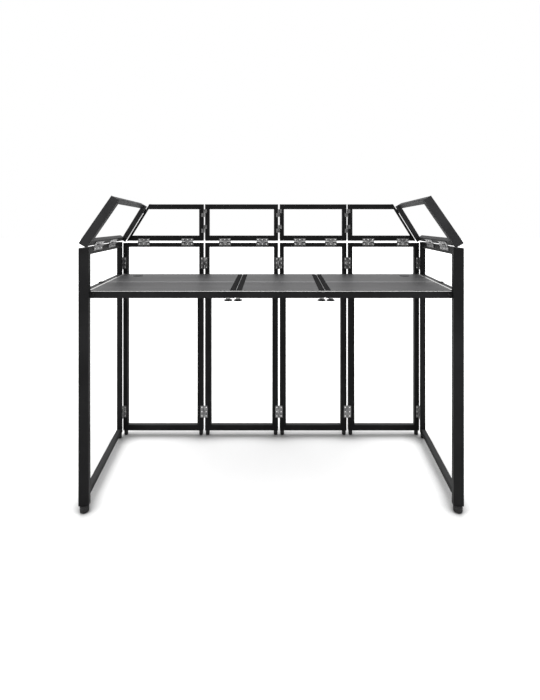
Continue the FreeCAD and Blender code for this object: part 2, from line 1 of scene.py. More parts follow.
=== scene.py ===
import bmesh
import bpy
import json
import math
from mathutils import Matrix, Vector


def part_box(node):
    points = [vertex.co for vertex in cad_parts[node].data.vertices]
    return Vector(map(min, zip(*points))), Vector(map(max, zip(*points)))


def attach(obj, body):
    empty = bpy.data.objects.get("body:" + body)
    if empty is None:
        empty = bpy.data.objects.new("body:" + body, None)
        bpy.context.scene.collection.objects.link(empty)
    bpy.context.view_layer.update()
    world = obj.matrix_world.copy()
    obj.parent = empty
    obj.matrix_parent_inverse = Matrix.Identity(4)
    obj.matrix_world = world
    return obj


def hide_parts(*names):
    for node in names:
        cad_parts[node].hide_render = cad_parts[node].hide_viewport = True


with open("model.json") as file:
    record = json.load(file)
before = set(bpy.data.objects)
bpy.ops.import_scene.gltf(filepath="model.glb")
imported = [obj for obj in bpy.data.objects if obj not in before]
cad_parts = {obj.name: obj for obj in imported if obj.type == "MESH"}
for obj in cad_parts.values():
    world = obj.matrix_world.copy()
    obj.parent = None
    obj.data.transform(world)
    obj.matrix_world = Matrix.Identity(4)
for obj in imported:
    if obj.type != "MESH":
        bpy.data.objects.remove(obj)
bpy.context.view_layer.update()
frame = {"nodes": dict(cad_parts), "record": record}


# Welded frames: lower and upper panels, side frames, leaning frames, table frames and front rail.
# They are thin square steel tube with rounded edges, cut to length or mitred, welded at the
# corners and powder coated black; the leaning frames have a paler copy of the coat, painted light from
# above.
class Shade:
    """A socket of a finish, so that a mask or a shade is written as a plain sum."""

    def __init__(self, finish, socket):
        self.finish = finish
        self.socket = socket

    def _sum(self, operation, first, second):
        return self.finish.node("Math", {"operation": operation}, {0: first, 1: second})

    def __add__(self, other):
        return self._sum("ADD", self, other)

    def __radd__(self, other):
        return self._sum("ADD", other, self)

    def __sub__(self, other):
        return self._sum("SUBTRACT", self, other)

    def __rsub__(self, other):
        return self._sum("SUBTRACT", other, self)

    def __mul__(self, other):
        return self._sum("MULTIPLY", self, other)

    def __rmul__(self, other):
        return self._sum("MULTIPLY", other, self)


class Finish:
    """One material of the booth, or the studio round it, built on a single shader."""

    def __init__(self, name, store=bpy.data.materials, shader="Principled BSDF", **fixed):
        self.material = store.new(name)
        self.material.use_nodes = True
        self.nodes = self.material.node_tree.nodes
        self.links = self.material.node_tree.links
        self.surface = self.nodes[shader]
        for socket, value in fixed.items():
            self.surface.inputs[socket.replace("_", " ")].default_value = value

    def plug(self, socket, value):
        """Link a shade to a socket, or set a plain value on it."""
        if isinstance(value, Shade):
            self.links.new(value.socket, socket)
        else:
            socket.default_value = value

    def node(self, kind, settings, sockets, out=None):
        """Add a node: its settings first, then the values or links of its sockets."""
        made = self.nodes.new("ShaderNode" + kind)
        for key, value in settings.items():
            setattr(made, key, value)
        for key, value in sockets.items():
            found = made.inputs[key] if isinstance(key, int) else None
            found = found or next(s for s in made.inputs if s.enabled and s.name == key)
            self.plug(found, value)
        results = [s for s in made.outputs if s.enabled and out in (None, s.name)]
        return Shade(self, results[0])

    def place(self):
        """Object coordinates, which stay with the piece as it moves."""
        return self.node("TexCoord", {}, {}, "Object")

    def cloud(self, where, scale, detail=2.0, stretch=(1, 1, 1)):
        """Soft noise of about one over the scale in size, stretched where asked."""
        spread = self.node("Mapping", {}, {"Vector": where, "Scale": stretch})
        return self.node("TexNoise", {}, {"Vector": spread, "Scale": scale, "Detail": detail}, "Fac")

    def ramp(self, value, low, high):
        """Nought below low, one above high, and a smooth rise between them."""
        sockets = {"Value": value, "From Min": low, "From Max": high}
        return self.node("MapRange", {"interpolation_type": "SMOOTHSTEP"}, sockets)

    def blend(self, share, first, second):
        """A colour between two others."""
        return self.node("Mix", {"data_type": "RGBA"}, {"Factor": share, "A": first, "B": second})

    def wear(self, **sockets):
        """Feed what changes over the surface, such as its colour or roughness."""
        for socket, value in sockets.items():
            self.plug(self.surface.inputs[socket.replace("_", " ")], value)

    def relief(self, height, depth):
        """Fine bumps of a depth in metres."""
        strength = 0.6
        bump = self.node("Bump", {}, {"Height": height, "Distance": depth, "Strength": strength})
        self.wear(Normal=bump)


def powder_coat(name, darkest, palest):
    """Black powder coat: fine orange peel, faint handling marks, rubbed edges and tops painted paler as if
    lit from above.
    """
    rubbed_tone = (0.05, 0.05, 0.052, 1)
    painted_top_tone = (0.045, 0.045, 0.046, 1)
    cool_cast = 1.03
    coat = Finish(name, Specular_IOR_Level=0.02)
    where = coat.place()
    peel = coat.cloud(where, 620, 3)
    patches = coat.cloud(where, 7, 4)
    scuffs = coat.cloud(where, 40, 6, (1, 1, 0.35))
    edge = coat.node("Attribute", {"attribute_name": "rubbed"}, {}, "Fac")
    rubbed = edge * coat.ramp(scuffs + patches * 0.3, 0.62, 0.82)
    tones = [(tone, tone, tone * cool_cast, 1) for tone in (darkest, palest)]
    body = coat.blend(coat.ramp(patches, 0.3, 0.7), *tones)
    shade = coat.blend(rubbed * 0.6, body, rubbed_tone)
    # Painted light from above: faces that look upward are made paler, a little mottled.
    upward = coat.node("SeparateXYZ", {}, {"Vector": coat.node("TexCoord", {}, {}, "Normal")}, "Z")
    top_light_painted = coat.ramp(upward, 0.75, 0.98) * (0.55 + 0.45 * patches)
    shade = coat.blend(top_light_painted, shade, painted_top_tone)
    coat.wear(Base_Color=shade, Roughness=0.30 + 0.10 * scuffs + 0.08 * patches)
    coat.relief(peel + 0.4 * scuffs, 0.0002)
    return coat.material


coat_black = powder_coat("black_powder_coat", 0.0115, 0.0165)
# A paler copy of the black coat for the leaning frames: painted light from above.
coat_painted_lit = powder_coat("faded_powder_coat", 0.026, 0.036)
tube_round = 0.0013
end_round = 0.0006
merge_distance = 2e-6
box_slack = 1e-6
least_volume = 1e-8
flat_angle = math.radians(0.6)
along_run = 0.95
end_lean = 0.3
mitred_end = 0.985
square_end = 0.999
plain_tube_faces = 12
bent_plate_limit = 0.1
bent_plate_faces = 40


def solid_pieces(node):
    """The shells of a CAD node, in the same order each run, as lists of faces by corner points."""
    shell = bmesh.new()
    shell.from_mesh(frame["nodes"][node].data)
    bmesh.ops.remove_doubles(shell, verts=shell.verts, dist=merge_distance)
    waiting = dict.fromkeys(shell.faces)
    pieces = []
    while waiting:
        reached = [waiting.popitem()[0]]
        piece = []
        while reached:
            face = reached.pop()
            piece.append([v.co.copy() for v in face.verts])
            for edge in face.edges:
                if len(edge.link_faces) == 2:
                    for other in edge.link_faces:
                        if other in waiting:
                            del waiting[other]
                            reached.append(other)
        pieces.append(piece)
    shell.free()
    return pieces


def reach_of(piece):
    """Lowest and highest corners of a shell."""
    corners = [corner for face in piece for corner in face]
    low = Vector([min(corner[k] for corner in corners) for k in range(3)])
    high = Vector([max(corner[k] for corner in corners) for k in range(3)])
    return low, high


def as_drawn(piece):
    """A shell just as it stands in the CAD model, with its doubles merged."""
    form = bmesh.new()
    for face in piece:
        form.faces.new([form.verts.new(corner) for corner in face])
    bmesh.ops.remove_doubles(form, verts=form.verts, dist=merge_distance)
    return form


def hull_of(piece):
    """The closed outer form of one straight piece of tube or bar, or None for a flat patch."""
    form = bmesh.new()
    for corner in {tuple(corner) for face in piece for corner in face}:
        form.verts.new(corner)
    made = bmesh.ops.convex_hull(form, input=form.verts)
    inner = [v for v in made["geom_interior"] if isinstance(v, bmesh.types.BMVert)]
    bmesh.ops.delete(form, geom=inner, context="VERTS")
    bmesh.ops.dissolve_limit(form, angle_limit=flat_angle, verts=form.verts, edges=form.edges)
    bmesh.ops.recalc_face_normals(form, faces=form.faces)
    if form.calc_volume() < least_volume:
        form.free()
        return None
    return form


def ease_edges(form, long_round, short_round):
    """Round the long edges of a tube, and the rims of an end that is cut square."""
    longest = max(form.edges, key=lambda edge: edge.calc_length())
    run = (longest.verts[1].co - longest.verts[0].co).normalized()
    along = []
    rims = []
    for edge in form.edges:
        way = (edge.verts[1].co - edge.verts[0].co).normalized()
        ends = [face for face in edge.link_faces if abs(face.normal.dot(run)) > end_lean]
        if abs(way.dot(run)) > along_run:
            along.append(edge)
        elif ends and abs(ends[0].normal.dot(run)) > square_end:
            rims.append(edge)
    rubbed = form.faces.layers.float.new("rubbed")
    for chosen, size in ((rims, short_round), (along, long_round)):
        chosen = [edge for edge in chosen if edge.is_valid]
        made = bmesh.ops.bevel(form, geom=chosen, offset=size, segments=3, profile=0.5, affect="EDGES")
        for face in made["faces"]:
            face.smooth = True
            face[rubbed] = 1.0


def inside_another(form, others):
    """Whether a hull lies wholly in a bigger one, as a tube's bore does."""
    low = [min(v.co[k] for v in form.verts) for k in range(3)]
    high = [max(v.co[k] for v in form.verts) for k in range(3)]
    for other in others:
        if other is form or other.calc_volume() <= form.calc_volume():
            continue
        centre = sum((v.co for v in form.verts), Vector()) / len(form.verts)
        if all((centre - face.verts[0].co).dot(face.normal) < 0 for face in other.faces):
            reach = [max(v.co[k] for v in other.verts) - min(v.co[k] for v in other.verts) for k in range(3)]
            if all(high[k] - low[k] <= reach[k] + box_slack for k in range(3)):
                return True
    return False


def piece_from(name, forms, finish):
    """One mesh object from several bmesh forms, which are freed."""
    joined = bmesh.new()
    for form in forms:
        loose = bpy.data.meshes.new("loose")
        form.to_mesh(loose)
        form.free()
        joined.from_mesh(loose)
        bpy.data.meshes.remove(loose)
    mesh = bpy.data.meshes.new(name)
    joined.to_mesh(mesh)
    joined.free()
    mesh.materials.append(finish)
    piece = bpy.data.objects.new(name, mesh)
    bpy.context.scene.collection.objects.link(piece)
    return piece


def outer_forms(node):
    """Outer forms of a frame: a hull for a tube or bar, and a bent plate as it is drawn."""
    forms = {}
    for piece in solid_pieces(node):
        low, high = reach_of(piece)
        bent = max(high - low) < bent_plate_limit and len(piece) > bent_plate_faces
        form = as_drawn(piece) if bent else hull_of(piece)
        if form:
            forms[tuple(round(value, 5) for value in (*low, *high))] = form
    return [form for form in forms.values() if not inside_another(form, forms.values())]


def mitre_seams(forms):
    """The welded lines across both faces of each slanted tube end."""
    seams = {}
    for form in forms:
        longest = max(form.edges, key=lambda edge: edge.calc_length())
        run = (longest.verts[1].co - longest.verts[0].co).normalized()
        for face in form.faces:
            if end_lean < abs(face.normal.dot(run)) < mitred_end and len(face.edges) == 4:
                for edge in sorted(face.edges, key=lambda edge: edge.calc_length())[2:]:
                    ends = [edge.verts[k].co.lerp(edge.verts[1 - k].co, weld_inset) for k in (0, 1)]
                    ends = sorted(tuple(end) for end in ends)
                    seams[tuple(round(value, 4) for end in ends for value in end)] = ends
    return [seams[place] for place in sorted(seams)]


class Tree:
    """A Geometry Nodes tree with named inputs, used once for each body and then left behind."""

    def __init__(self, name, **inputs):
        self.group = bpy.data.node_groups.new(name, "GeometryNodeTree")
        self.keys = {}
        face = self.group.interface
        face.new_socket("Geometry", in_out="INPUT", socket_type="NodeSocketGeometry")
        for label, kind in inputs.items():
            made = face.new_socket(label, in_out="INPUT", socket_type="NodeSocket" + kind)
            self.keys[label] = made.identifier
        face.new_socket("Geometry", in_out="OUTPUT", socket_type="NodeSocketGeometry")
        self.given = self.group.nodes.new("NodeGroupInput").outputs

    def node(self, kind, settings, sockets, out=0):
        """Add a node as a finish does, and give one of its results."""
        made = self.group.nodes.new(kind)
        for key, value in settings.items():
            setattr(made, key, value)
        for key, value in sockets.items():
            socket = made.inputs[key]
            if isinstance(value, bpy.types.NodeSocket):
                self.group.links.new(value, socket)
            else:
                socket.default_value = value
        return made.outputs[out]

    def close(self, placed):
        """Realize the instances, give them the finish and end the tree."""
        solid = self.node("GeometryNodeRealizeInstances", {}, {"Geometry": placed})
        sockets = {"Geometry": solid, "Material": self.given["Finish"]}
        solid = self.node("GeometryNodeSetMaterial", {}, sockets)
        self.group.links.new(solid, self.group.nodes.new("NodeGroupOutput").inputs[0])

    def grow(self, name, mesh, **values):
        """Run the tree on a mesh and keep the result as a plain piece."""
        piece = bpy.data.objects.new(name, mesh)
        bpy.context.scene.collection.objects.link(piece)
        run = piece.modifiers.new("run", "NODES")
        run.node_group = self.group
        for label, value in values.items():
            run[self.keys[label]] = value
        graph = bpy.context.evaluated_depsgraph_get()
        grown = bpy.data.meshes.new_from_object(piece.evaluated_get(graph))
        piece.modifiers.remove(run)
        piece.data = grown
        return piece


def weld_tree():
    """A row of small overlapping beads along each line of a mesh."""
    tree = Tree("weld_run", Pitch="Float", Radius="Float", Finish="Material")
    lines = tree.node("GeometryNodeMeshToCurve", {}, {"Mesh": tree.given["Geometry"]})
    sockets = {"Curve": lines, "Length": tree.given["Pitch"]}
    spots = tree.node("GeometryNodeResampleCurve", {"mode": "LENGTH"}, sockets)
    bead = tree.node("GeometryNodeMeshIcoSphere", {}, {"Radius": tree.given["Radius"], "Subdivisions": 1})
    bead = tree.node("GeometryNodeSetShadeSmooth", {}, {0: bead, 2: True})
    sizes = {2: 0.8, 3: 1.15, "Seed": 11}
    spread = tree.node("FunctionNodeRandomValue", {"data_type": "FLOAT"}, sizes, 1)
    sockets = {"Points": spots, "Instance": bead, "Scale": spread}
    tree.close(tree.node("GeometryNodeInstanceOnPoints", {}, sockets))
    return tree


weld_run = weld_tree()
weld_pitch = 0.0012
weld_radius = 0.0008
weld_inset = 0.1
body_of_node = {}
for body, held in frame["record"]["behaviour"]["bodies"].items():
    for node in held:
        body_of_node[node] = body

frame_nodes = [name for name in frame["nodes"] if name.endswith("_frame")]
frame_nodes += [name for name in frame["nodes"] if name.startswith("table_frame")] + ["table_front_rail"]


def settle(piece, node):
    """Let a finished piece stand for a CAD node and move with that node's body."""
    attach(piece, body_of_node[node])
    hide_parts(node)


for node in frame_nodes:
    forms = outer_forms(node)
    if node == "table_front_rail":
        forms = [max(forms, key=lambda form: form.calc_volume())]
    seams = mitre_seams(forms)
    for form in forms:
        if len(form.faces) < plain_tube_faces:
            ease_edges(form, tube_round, end_round)
    # The leaning frames take the paler coat, which is painted light from above.
    coat = coat_painted_lit if node.startswith("upper_side") else coat_black
    settle(piece_from(node + "_tubes", forms, coat), node)
    if seams and not node.startswith("table"):
        lines = bpy.data.meshes.new("lines")
        corners = [end for seam in seams for end in seam]
        lines.from_pydata(corners, [(k, k + 1) for k in range(0, len(corners), 2)], [])
        welds = weld_run.grow(node + "_welds", lines, Pitch=weld_pitch, Radius=weld_radius, Finish=coat)
        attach(welds, body_of_node[node])


# Hinges: butt hinges of pressed steel on the seams, the corners and along the tops of the sides,
# and lift-off links between the upper frames. They are zinc plated, with rolled knuckles on a pin.
def zinc_plate():
    """Zinc plate: a grey metal with faint rolling lines, dull patches and darker specks."""
    dull_tone = (0.13, 0.13, 0.135, 1)
    bright_tone = (0.25, 0.25, 0.247, 1)
    speck_tone = (0.09, 0.088, 0.085, 1)
    zinc = Finish("zinc_plate", Metallic=1.0)
    where = zinc.place()
    rolling = zinc.cloud(where, 260, 3, (1, 1, 0.08))
    patches = zinc.cloud(where, 60, 4)
    specks = zinc.ramp(zinc.cloud(where, 420, 5), 0.58, 0.72)
    shade = zinc.blend(zinc.ramp(patches, 0.3, 0.7), dull_tone, bright_tone)
    shade = zinc.blend(specks * 0.5, shade, speck_tone)
    zinc.wear(Base_Color=shade, Roughness=0.30 + 0.12 * patches + 0.10 * rolling)
    zinc.relief(rolling + 0.5 * patches, 0.00008)
    return zinc.material


def softened(form, angle):
    """Shade a form smooth, except over edges sharper than an angle."""
    for face in form.faces:
        face.smooth = True
    for edge in form.edges:
        edge.smooth = len(edge.link_faces) == 2 and edge.calc_face_angle(0) < angle


zinc = zinc_plate()
plate_crease = math.radians(35)
for node in [name for name in frame["nodes"] if name.endswith("_hinges")]:
    forms = [as_drawn(piece) for piece in solid_pieces(node)]
    for form in forms:
        softened(form, plate_crease)
    settle(piece_from(node + "_leaves", forms, zinc), node)


# Hinge screws: countersunk steel screws with a cross recess, three to a leaf.
# They are plated brighter than the leaves and driven flush, each one turned as it stopped.
def screw_plate():
    """Bright plate with fine turning marks and a little dirt."""
    clean_tone = (0.92, 0.92, 0.91, 1)
    dirt_tone = (0.45, 0.44, 0.43, 1)
    plate = Finish("screw_plate", Metallic=1.0)
    where = plate.place()
    marks = plate.cloud(where, 900, 3)
    dirt = plate.ramp(plate.cloud(where, 300, 4), 0.52, 0.70)
    shade = plate.blend(dirt * 0.5, clean_tone, dirt_tone)
    plate.wear(Base_Color=shade, Roughness=0.20 + 0.15 * marks)
    plate.relief(marks, 0.00005)
    return plate.material


def driven_head(name, rings, recess, depth):
    """A round head from rings of radius and level, with a driver's recess sunk in its top."""
    sides = 20
    taper = 0.75
    head = bmesh.new()
    loops = []
    for radius, level in rings:
        turns = [2 * math.pi * k / sides for k in range(sides)]
        loops.append([head.verts.new((radius * math.cos(t), radius * math.sin(t), level)) for t in turns])
    head.faces.new(loops[0][::-1])
    for low, high in zip(loops, loops[1:]):
        for k in range(sides):
            head.faces.new((low[k - 1], low[k], high[k], high[k - 1])).smooth = True
    top = rings[-1][1]
    rim = [head.verts.new((x, y, top)) for x, y in recess]
    sunk = [head.verts.new((x * taper, y * taper, top - depth)) for x, y in recess]
    edges = [head.edges.new((rim[k - 1], rim[k])) for k in range(len(rim))]
    edges += [head.edges.get((loops[-1][k - 1], loops[-1][k])) for k in range(sides)]
    bmesh.ops.triangle_fill(head, use_beauty=True, edges=edges, normal=(0, 0, 1))
    for k in range(len(rim)):
        head.faces.new((rim[k - 1], rim[k], sunk[k], sunk[k - 1]))
    head.faces.new(sunk)
    bmesh.ops.recalc_face_normals(head, faces=head.faces)
    mesh = bpy.data.meshes.new(name)
    head.to_mesh(mesh)
    head.free()
    return bpy.data.objects.new(name, mesh)


def fixing_tree():
    """One head on every point, facing as the point's attribute says and turned at random."""
    tree = Tree("fixing_set", Head="Object", Finish="Material")
    head = tree.node("GeometryNodeObjectInfo", {}, {"Object": tree.given["Head"]}, "Geometry")
    facing = tree.node("GeometryNodeInputNamedAttribute", {"data_type": "FLOAT_VECTOR"}, {"Name": "facing"})
    aim = tree.node("FunctionNodeAlignRotationToVector", {"axis": "Z"}, {"Vector": facing})
    turns = {2: 0.0, 3: 6.28, "Seed": 5}
    angle = tree.node("FunctionNodeRandomValue", {"data_type": "FLOAT"}, turns, 1)
    turn = tree.node("FunctionNodeAxisAngleToRotation", {}, {"Axis": (0, 0, 1), "Angle": angle})
    aim = tree.node("FunctionNodeRotateRotation", {"rotation_space": "LOCAL"}, {0: aim, 1: turn})
    sockets = {"Points": tree.given["Geometry"], "Instance": head, "Rotation": aim}
    tree.close(tree.node("GeometryNodeInstanceOnPoints", {}, sockets))
    return tree


def outer_disc(piece):
    """Middle and outward direction of the largest flat round face of a screw or bolt."""
    areas = {}
    for face in piece:
        across = (face[1] - face[0]).cross(face[2] - face[0])
        key = tuple(round(value, 2) for value in across.normalized())
        areas.setdefault(key, []).append((across.length, (face[0] + face[1] + face[2]) / 3))
    facing, parts = max(areas.items(), key=lambda item: sum(part[0] for part in item[1]))
    total = sum(part[0] for part in parts)
    return sum((part[1] * part[0] for part in parts), Vector()) / total, Vector(facing)


def fit_heads(name, node, head, finish):
    """Set a head on every screw or bolt of a CAD node."""
    discs = [outer_disc(piece) for piece in solid_pieces(node)]
    spots = bpy.data.meshes.new("spots")
    spots.from_pydata([middle for middle, facing in discs], [], [])
    directions = spots.attributes.new("facing", "FLOAT_VECTOR", "POINT")
    for item, (middle, facing) in zip(directions.data, discs):
        item.vector = facing
    settle(fixing_set.grow(name, spots, Head=head, Finish=finish), node)


fixing_set = fixing_tree()
bright_screw = screw_plate()
arm, notch = 0.0019, 0.00055
cross = [(arm, -notch), (arm, notch), (notch, notch), (notch, arm), (-notch, arm), (-notch, notch)]
cross += [(-arm, notch), (-arm, -notch), (-notch, -notch), (-notch, -arm), (notch, -arm), (notch, -notch)]
screw_rings = [(0.0018, -0.004), (0.0018, -0.0015), (0.0033, -0.0001), (0.0030, 0.0003), (0.0025, 0.0004)]
cross_depth = 0.0009
screw_head = driven_head("screw_head", screw_rings, cross, cross_depth)
for node in [name for name in frame["nodes"] if name.endswith("_screws")]:
    fit_heads(node + "_heads", node, screw_head, bright_screw)


# Feet: moulded rubber pads under the front frames and the side posts, larger under the near legs.
# Each has a rounded tread, a waist groove and a collar, and is pressed into the end of its tube.
def moulded(name, shade, gloss, grain, sheen=0.35):
    """A dark moulding with a fine texture, faint dust and a duller patch here and there."""
    mould = Finish(name, Specular_IOR_Level=sheen)
    where = mould.place()
    texture = mould.cloud(where, grain, 3)
    dust = mould.ramp(mould.cloud(where, 55, 5), 0.5, 0.75)
    pale = tuple(value * 2.2 + 0.004 for value in shade)
    tone = mould.blend(dust * 0.6, (*shade, 1), (*pale, 1))
    mould.wear(Base_Color=tone, Roughness=gloss + 0.12 * dust + 0.08 * texture)
    mould.relief(texture, 0.00012)
    return mould.material


def lathed(rings, steps, place, lobes=0):
    """A turned form from rings of radius, lobe depth and height; the first and last may be points."""
    form = bmesh.new()
    loops = []
    for radius, lobe, level in rings:
        if radius == 0:
            loops.append([form.verts.new(place + Vector((0, 0, level)))] * steps)
            continue
        loop = []
        for k in range(steps):
            turn = 2 * math.pi * k / steps
            reach = radius - lobe * (1 + math.cos(lobes * turn)) / 2
            offset = Vector((reach * math.cos(turn), reach * math.sin(turn), level))
            loop.append(form.verts.new(place + offset))
        loops.append(loop)
    for low, high in zip(loops, loops[1:]):
        for k in range(steps):
            corners = dict.fromkeys((low[k - 1], low[k], high[k], high[k - 1]))
            form.faces.new(list(corners))
    bmesh.ops.recalc_face_normals(form, faces=form.faces)
    softened(form, moulding_crease)
    return form


def middle_at(low, high, level):
    """The middle of a box in plan, at a level."""
    return Vector(((low.x + high.x) / 2, (low.y + high.y) / 2, level))


moulding_crease = math.radians(50)
rubber = moulded("foot_rubber", (0.012, 0.012, 0.0125), 0.55, 700)
foot_shares = [(0, 0), (0.5, 0), (0.8, 0.035), (0.95, 0.12), (1, 0.25), (1, 0.44), (0.94, 0.46)]
foot_shares += [(0.94, 0.54), (1, 0.56), (1, 0.8), (0.9, 0.84), (0.9, 0.9), (0.98, 0.92), (0.98, 1), (0, 1)]
foot_steps = 40
for node in [name for name in frame["nodes"] if name.endswith("_feet")]:
    forms = []
    for piece in solid_pieces(node):
        low, high = reach_of(piece)
        radius = (high.x - low.x) / 2
        rings = [(radius * wide, 0, (high.z - low.z) * rise) for wide, rise in foot_shares]
        forms.append(lathed(rings, foot_steps, middle_at(low, high, 0)))
    settle(piece_from(node + "_pads", forms, rubber), node)


# Rail plugs and cable grommets: black plastic caps, pushed into holes in the side rails and boards.
# A plug is a low dome; a grommet has a raised rim round a dished lid.
plastic = moulded("black_plastic", (0.014, 0.014, 0.0145), 0.42, 900)
plug_shares = [(0, 1), (0.5, 0.96), (0.82, 0.78), (0.97, 0.4), (1, 0.12), (1, 0), (0, 0)]
plug_steps = 40
for node in ("side_left_plug", "side_right_plug"):
    low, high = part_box(node)
    rings = [((high.x - low.x) / 2 * wide, 0, (high.z - low.z) * rise) for wide, rise in plug_shares]
    plug = lathed(rings, plug_steps, middle_at(low, high, low.z))
    settle(piece_from(node + "_cap", [plug], plastic), node)
lid_rings = [(0, -0.8), (0.66, -0.9), (0.70, -1.3), (0.72, -1.3), (0.74, -0.5), (0.80, 0), (0.93, -0.1)]
lid_rings += [(0.99, -0.7), (1, -1.4), (1, -2.5), (0.85, -2.5), (0.85, -12.4), (0, -12.4)]
lid_steps = 48
lids = []
for piece in solid_pieces("cable_grommets"):
    low, high = reach_of(piece)
    rings = [((high.x - low.x) / 2 * wide, 0, drop / 1000) for wide, drop in lid_rings]
    lids.append(lathed(rings, lid_steps, middle_at(low, high, high.z)))
settle(piece_from("cable_grommet_lids", lids, plastic), "cable_grommets")


# Table boards: two grey laminated boards in each of the three sections, laid on the tube frames.
# The laminate has a fine grain along the booth and an edge band of the same grey.
def board_laminate(near_edge, split, far_edge):
    """Dark grey laminate with a fine lengthwise grain, and a painted reflection of the dark frames that
    darkens each board towards its far edge.
    """
    dark_grain = (0.020, 0.020, 0.0212, 1)
    pale_grain = (0.052, 0.052, 0.054, 1)
    streak_tone = (0.078, 0.078, 0.080, 1)
    pore_tone = (0.018, 0.018, 0.019, 1)
    painted_reflection_tone = (0.016, 0.016, 0.017, 1)
    restart = split + 0.002
    laminate = Finish("grey_laminate", Specular_IOR_Level=0.36)
    where = laminate.place()
    grain = laminate.cloud(where, 210, 5, (0.03, 1, 1))
    pores = laminate.ramp(laminate.cloud(where, 700, 3, (0.06, 1, 1)), 0.52, 0.68)
    wipes = laminate.cloud(where, 5, 4, (1, 2.5, 1))
    streaks = laminate.ramp(laminate.cloud(where, 26, 3, (0.05, 1, 1)), 0.35, 0.65)
    shade = laminate.blend(laminate.ramp(grain, 0.32, 0.68), dark_grain, pale_grain)
    shade = laminate.blend(streaks * 0.4, shade, streak_tone)
    shade = laminate.blend(pores * 0.45, shade, pore_tone)
    # Painted reflection of the dark frames: each board darkens from its near edge to its far edge.
    back = laminate.node("SeparateXYZ", {}, {"Vector": where}, "Y")
    painted_frame_reflection = laminate.ramp(back, near_edge, split) - laminate.ramp(back, split, restart)
    painted_frame_reflection = painted_frame_reflection + laminate.ramp(back, restart, far_edge)
    shade = laminate.blend(painted_frame_reflection * 0.55, shade, painted_reflection_tone)
    laminate.wear(Base_Color=shade, Roughness=0.36 + 0.10 * wipes + 0.10 * grain)
    laminate.relief(grain - 0.6 * pores, 0.00012)
    return laminate.material


def eased_copy(node, shortest, size):
    """The shells of a CAD node with their long edges eased."""
    forms = []
    for piece in solid_pieces(node):
        form = as_drawn(piece)
        bmesh.ops.dissolve_limit(form, angle_limit=board_flat_angle, verts=form.verts, edges=form.edges)
        long = [edge for edge in form.edges if edge.calc_length() > shortest]
        made = bmesh.ops.bevel(form, geom=long, offset=size, segments=2, profile=0.5, affect="EDGES")
        for face in made["faces"]:
            face.smooth = True
        forms.append(form)
    return forms


board_flat_angle = math.radians(1)
least_edge = 0.05
board_round = 0.0006
strip_low, strip_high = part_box("table_strips")
table_low, table_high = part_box("table_boards_2")
laminate = board_laminate(table_low.y, (strip_low.y + strip_high.y) / 2, table_high.y)
for node in ("table_boards_1", "table_boards_2", "table_boards_3"):
    boards = eased_copy(node, least_edge, board_round)
    settle(piece_from(node + "_laid", boards, laminate), node)


# Board strips: flat anodised aluminium bars between the near and far boards of each section.
# They are pressed in flush, with a brushed face.
def brushed_strip():
    """Satin aluminium with brush lines along the strip."""
    dark_line = (0.32, 0.32, 0.325, 1)
    pale_line = (0.44, 0.44, 0.445, 1)
    strip = Finish("satin_aluminium", Metallic=1.0)
    where = strip.place()
    lines = strip.cloud(where, 500, 4, (0.02, 1, 1))
    dull = strip.cloud(where, 30, 3)
    shade = strip.blend(strip.ramp(lines, 0.3, 0.7), dark_line, pale_line)
    strip.wear(Base_Color=shade, Roughness=0.34 + 0.12 * dull)
    strip.relief(lines, 0.00006)
    return strip.material


strip_round = 0.0004
strips = eased_copy("table_strips", least_edge, strip_round)
satin = brushed_strip()
settle(piece_from("table_strip_bars", strips, satin), "table_strips")


# Joint strips and edge trims: matt near-black rubber laid on the flat bars along the joints of the table as
# painted shade of the recessed joints, a rubber seal with a bright bead in each joint, and thin metal bars
# along the outer edges of the end boards, over the strips between boards and on the front rail. They are all
# glued down flat.
def bar_on(start, end, width, low, high):
    """A flat bar between two points in plan, lying to the right of its line, with eased edges."""
    run = (end - start).normalized()
    side = Vector((run.y, -run.x, 0)) * width
    form = bmesh.new()
    corners = [start, start + side, end + side, end]
    rings = [[form.verts.new((c.x, c.y, level)) for c in corners] for level in (low, high)]
    form.faces.new(rings[0])
    form.faces.new(rings[1])
    for k in range(4):
        form.faces.new((rings[0][k - 1], rings[0][k], rings[1][k], rings[1][k - 1]))
    bmesh.ops.recalc_face_normals(form, faces=form.faces)
    edges = [edge for edge in form.edges if edge.verts[0].co.z > low and edge.verts[1].co.z > low]
    ease = (high - low) * 0.4
    bmesh.ops.bevel(form, geom=edges, offset=ease, segments=2, profile=0.5, affect="EDGES")
    return form


def section_corners(node):
    """Near left, near right, far right and far left corners of a table section, and its top."""
    slack = 1e-4
    low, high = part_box(node)
    corners = [corner for piece in solid_pieces(node) for face in piece for corner in face]
    near = [corner for corner in corners if corner.y < low.y + slack]
    far = [corner for corner in corners if corner.y > high.y - slack]
    picked = [min(near, key=lambda c: c.x), max(near, key=lambda c: c.x)]
    picked += [max(far, key=lambda c: c.x), min(far, key=lambda c: c.x)]
    return picked, high.z


def table_piece(name, forms, finish):
    """A piece with no CAD node of its own that goes with the table."""
    piece = piece_from(name, forms, finish)
    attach(piece, "table")


